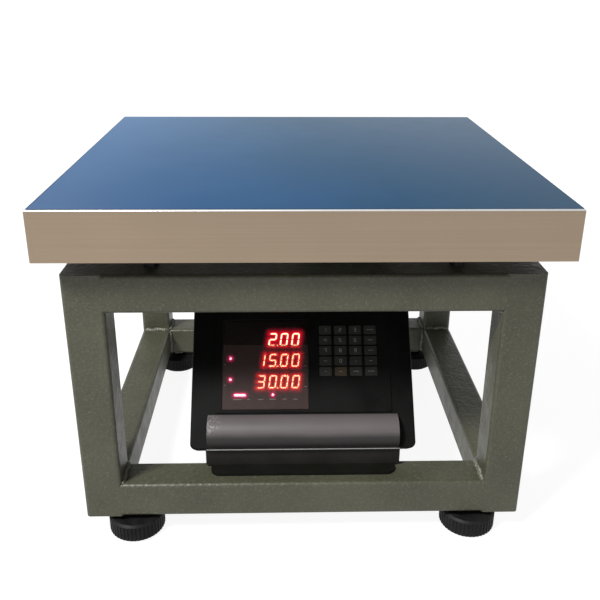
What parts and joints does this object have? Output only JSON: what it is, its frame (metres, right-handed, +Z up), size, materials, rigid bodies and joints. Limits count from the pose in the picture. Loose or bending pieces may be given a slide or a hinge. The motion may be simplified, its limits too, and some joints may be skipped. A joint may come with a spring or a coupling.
{
  "type": "animal weighing scale",
  "caption": "Platform scale for small animals: square sheet-metal pan on a load cell in a welded tube frame with levelling feet and a sloping digital indicator.",
  "frame": {"origin": "centre of the scale's footprint, on the floor", "axes": "+Z up, +X to the operator's right, -Y towards the operator, who faces the indicator"},
  "size_m": [0.5, 0.45, 0.38],
  "materials": {
    "frame_paint": "hammered olive-grey enamel",
    "cell_aluminium": "machined",
    "zinc_steel": "zinc plated",
    "black_rubber": "matt",
    "pan_stainless": "brushed stainless sheet",
    "blue_film": "glossy blue protective film",
    "shelf_paint": "black powder coat",
    "indicator_plastic": "fine-grained black moulding",
    "roll_plastic": "satin dark grey",
    "smoked_window": "smoked, polished",
    "circuit_board": "solder mask",
    "display_red": "red seven-bar digits",
    "battery_case": "moulded case",
    "socket_plastic": "moulded",
    "knob_plastic": "ribbed nylon",
    "key_rubber": "silicone rubber",
    "key_rubber_amber": "silicone rubber"
  },
  "bodies": {
    "base": {"legs": "frame_paint", "front_upper_rail": "frame_paint", "rear_upper_rail": "frame_paint", "front_lower_rail": "frame_paint", "rear_lower_rail": "frame_paint", "side_rails": "frame_paint", "cross_members": "frame_paint", "load_cell_base_plate": "frame_paint", "load_cell": "cell_aluminium", "base_bolts": "zinc_steel", "overload_stops": "zinc_steel", "foot_nuts": "zinc_steel", "indicator_shelf": "shelf_paint", "indicator_base_shell": "indicator_plastic", "indicator_front_shell": "indicator_plastic", "front_roll": "roll_plastic", "display_window": "smoked_window", "front_board": "circuit_board", "digit_modules": "display_red", "main_board": "circuit_board", "battery": "battery_case", "case_screws": "zinc_steel", "power_inlet": "socket_plastic", "load_cell_socket": "socket_plastic", "rocker_housing": "socket_plastic"},
    "platform": {"platform_bolts": "zinc_steel", "load_frame_tubes": "frame_paint", "load_frame_plate": "frame_paint", "corner_pads": "black_rubber"},
    "pan": {"pan_cover": "pan_stainless", "protective_film": "blue_film"},
    "rocker": {"power_rocker": "socket_plastic"},
    "front_left_sole": {"front_left_foot_sole": "black_rubber"},
    "front_left_knob": {"front_left_foot_knob": "knob_plastic"},
    "front_right_sole": {"front_right_foot_sole": "black_rubber"},
    "front_right_knob": {"front_right_foot_knob": "knob_plastic"},
    "rear_left_sole": {"rear_left_foot_sole": "black_rubber"},
    "rear_left_knob": {"rear_left_foot_knob": "knob_plastic"},
    "rear_right_sole": {"rear_right_foot_sole": "black_rubber"},
    "rear_right_knob": {"rear_right_foot_knob": "knob_plastic"},
    "key_1": {"key_1": "key_rubber"},
    "key_2": {"key_2": "key_rubber"},
    "key_3": {"key_3": "key_rubber"},
    "key_memory": {"key_memory": "key_rubber"},
    "key_4": {"key_4": "key_rubber"},
    "key_5": {"key_5": "key_rubber"},
    "key_6": {"key_6": "key_rubber"},
    "key_recall": {"key_recall": "key_rubber"},
    "key_7": {"key_7": "key_rubber"},
    "key_8": {"key_8": "key_rubber"},
    "key_9": {"key_9": "key_rubber"},
    "key_total": {"key_total": "key_rubber"},
    "key_clear": {"key_clear": "key_rubber"},
    "key_0": {"key_0": "key_rubber"},
    "key_point": {"key_point": "key_rubber"},
    "key_back": {"key_back": "key_rubber"},
    "key_zero": {"key_zero": "key_rubber"},
    "key_tare": {"key_tare": "key_rubber_amber"},
    "key_hold": {"key_hold": "key_rubber"},
    "key_enter": {"key_enter": "key_rubber"}
  },
  "joints": [
    {"name": "weigh_travel", "type": "slide", "parent": "base", "child": "platform", "axis": [0, 0, -1], "range_m": [0, 0.0006], "stiffness_N_per_m": 1400000, "deforming": ["load_cell"]},
    {"name": "pan_lift", "type": "slide", "parent": "platform", "child": "pan", "axis": [0, 0, 1], "range_m": [0, 0.12]},
    {"name": "power_rocker_tilt", "type": "hinge", "parent": "base", "child": "rocker", "pos_m": [0.074, -0.041, 0.149], "axis": [1, 0, 0], "range_deg": [0, 16]},
    {"name": "front_left_foot_height", "type": "slide", "parent": "base", "child": "front_left_sole", "axis": [0, 0, -1], "range_m": [0, 0.00875]},
    {"name": "front_left_foot_screw", "type": "hinge", "parent": "front_left_sole", "child": "front_left_knob", "pos_m": [-0.1835, -0.182, 0.02], "axis": [0, 0, -1], "range_deg": [0, 1800]},
    {"name": "front_right_foot_height", "type": "slide", "parent": "base", "child": "front_right_sole", "axis": [0, 0, -1], "range_m": [0, 0.00875]},
    {"name": "front_right_foot_screw", "type": "hinge", "parent": "front_right_sole", "child": "front_right_knob", "pos_m": [0.1835, -0.182, 0.02], "axis": [0, 0, -1], "range_deg": [0, 1800]},
    {"name": "rear_left_foot_height", "type": "slide", "parent": "base", "child": "rear_left_sole", "axis": [0, 0, -1], "range_m": [0, 0.00875]},
    {"name": "rear_left_foot_screw", "type": "hinge", "parent": "rear_left_sole", "child": "rear_left_knob", "pos_m": [-0.1835, 0.182, 0.02], "axis": [0, 0, -1], "range_deg": [0, 1800]},
    {"name": "rear_right_foot_height", "type": "slide", "parent": "base", "child": "rear_right_sole", "axis": [0, 0, -1], "range_m": [0, 0.00875]},
    {"name": "rear_right_foot_screw", "type": "hinge", "parent": "rear_right_sole", "child": "rear_right_knob", "pos_m": [0.1835, 0.182, 0.02], "axis": [0, 0, -1], "range_deg": [0, 1800]},
    {"name": "key_1_press", "type": "slide", "parent": "base", "child": "key_1", "axis": [0, 0.788, -0.6157], "range_m": [0, 0.001], "stiffness_N_per_m": 600, "springref_m": -0.0015},
    {"name": "key_2_press", "type": "slide", "parent": "base", "child": "key_2", "axis": [0, 0.788, -0.6157], "range_m": [0, 0.001], "stiffness_N_per_m": 600, "springref_m": -0.0015},
    {"name": "key_3_press", "type": "slide", "parent": "base", "child": "key_3", "axis": [0, 0.788, -0.6157], "range_m": [0, 0.001], "stiffness_N_per_m": 600, "springref_m": -0.0015},
    {"name": "key_memory_press", "type": "slide", "parent": "base", "child": "key_memory", "axis": [0, 0.788, -0.6157], "range_m": [0, 0.001], "stiffness_N_per_m": 600, "springref_m": -0.0015},
    {"name": "key_4_press", "type": "slide", "parent": "base", "child": "key_4", "axis": [0, 0.788, -0.6157], "range_m": [0, 0.001], "stiffness_N_per_m": 600, "springref_m": -0.0015},
    {"name": "key_5_press", "type": "slide", "parent": "base", "child": "key_5", "axis": [0, 0.788, -0.6157], "range_m": [0, 0.001], "stiffness_N_per_m": 600, "springref_m": -0.0015},
    {"name": "key_6_press", "type": "slide", "parent": "base", "child": "key_6", "axis": [0, 0.788, -0.6157], "range_m": [0, 0.001], "stiffness_N_per_m": 600, "springref_m": -0.0015},
    {"name": "key_recall_press", "type": "slide", "parent": "base", "child": "key_recall", "axis": [0, 0.788, -0.6157], "range_m": [0, 0.001], "stiffness_N_per_m": 600, "springref_m": -0.0015},
    {"name": "key_7_press", "type": "slide", "parent": "base", "child": "key_7", "axis": [0, 0.788, -0.6157], "range_m": [0, 0.001], "stiffness_N_per_m": 600, "springref_m": -0.0015},
    {"name": "key_8_press", "type": "slide", "parent": "base", "child": "key_8", "axis": [0, 0.788, -0.6157], "range_m": [0, 0.001], "stiffness_N_per_m": 600, "springref_m": -0.0015},
    {"name": "key_9_press", "type": "slide", "parent": "base", "child": "key_9", "axis": [0, 0.788, -0.6157], "range_m": [0, 0.001], "stiffness_N_per_m": 600, "springref_m": -0.0015},
    {"name": "key_total_press", "type": "slide", "parent": "base", "child": "key_total", "axis": [0, 0.788, -0.6157], "range_m": [0, 0.001], "stiffness_N_per_m": 600, "springref_m": -0.0015},
    {"name": "key_clear_press", "type": "slide", "parent": "base", "child": "key_clear", "axis": [0, 0.788, -0.6157], "range_m": [0, 0.001], "stiffness_N_per_m": 600, "springref_m": -0.0015},
    {"name": "key_0_press", "type": "slide", "parent": "base", "child": "key_0", "axis": [0, 0.788, -0.6157], "range_m": [0, 0.001], "stiffness_N_per_m": 600, "springref_m": -0.0015},
    {"name": "key_point_press", "type": "slide", "parent": "base", "child": "key_point", "axis": [0, 0.788, -0.6157], "range_m": [0, 0.001], "stiffness_N_per_m": 600, "springref_m": -0.0015},
    {"name": "key_back_press", "type": "slide", "parent": "base", "child": "key_back", "axis": [0, 0.788, -0.6157], "range_m": [0, 0.001], "stiffness_N_per_m": 600, "springref_m": -0.0015},
    {"name": "key_zero_press", "type": "slide", "parent": "base", "child": "key_zero", "axis": [0, 0.788, -0.6157], "range_m": [0, 0.001], "stiffness_N_per_m": 600, "springref_m": -0.0015},
    {"name": "key_tare_press", "type": "slide", "parent": "base", "child": "key_tare", "axis": [0, 0.788, -0.6157], "range_m": [0, 0.001], "stiffness_N_per_m": 600, "springref_m": -0.0015},
    {"name": "key_hold_press", "type": "slide", "parent": "base", "child": "key_hold", "axis": [0, 0.788, -0.6157], "range_m": [0, 0.001], "stiffness_N_per_m": 600, "springref_m": -0.0015},
    {"name": "key_enter_press", "type": "slide", "parent": "base", "child": "key_enter", "axis": [0, 0.788, -0.6157], "range_m": [0, 0.001], "stiffness_N_per_m": 600, "springref_m": -0.0015}
  ],
  "couplings": [
    {"joint": "front_left_foot_screw", "follows": "front_left_foot_height", "rad_per_m": 3590.4},
    {"joint": "front_right_foot_screw", "follows": "front_right_foot_height", "rad_per_m": 3590.4},
    {"joint": "rear_left_foot_screw", "follows": "rear_left_foot_height", "rad_per_m": 3590.4},
    {"joint": "rear_right_foot_screw", "follows": "rear_right_foot_height", "rad_per_m": 3590.4}
  ]
}
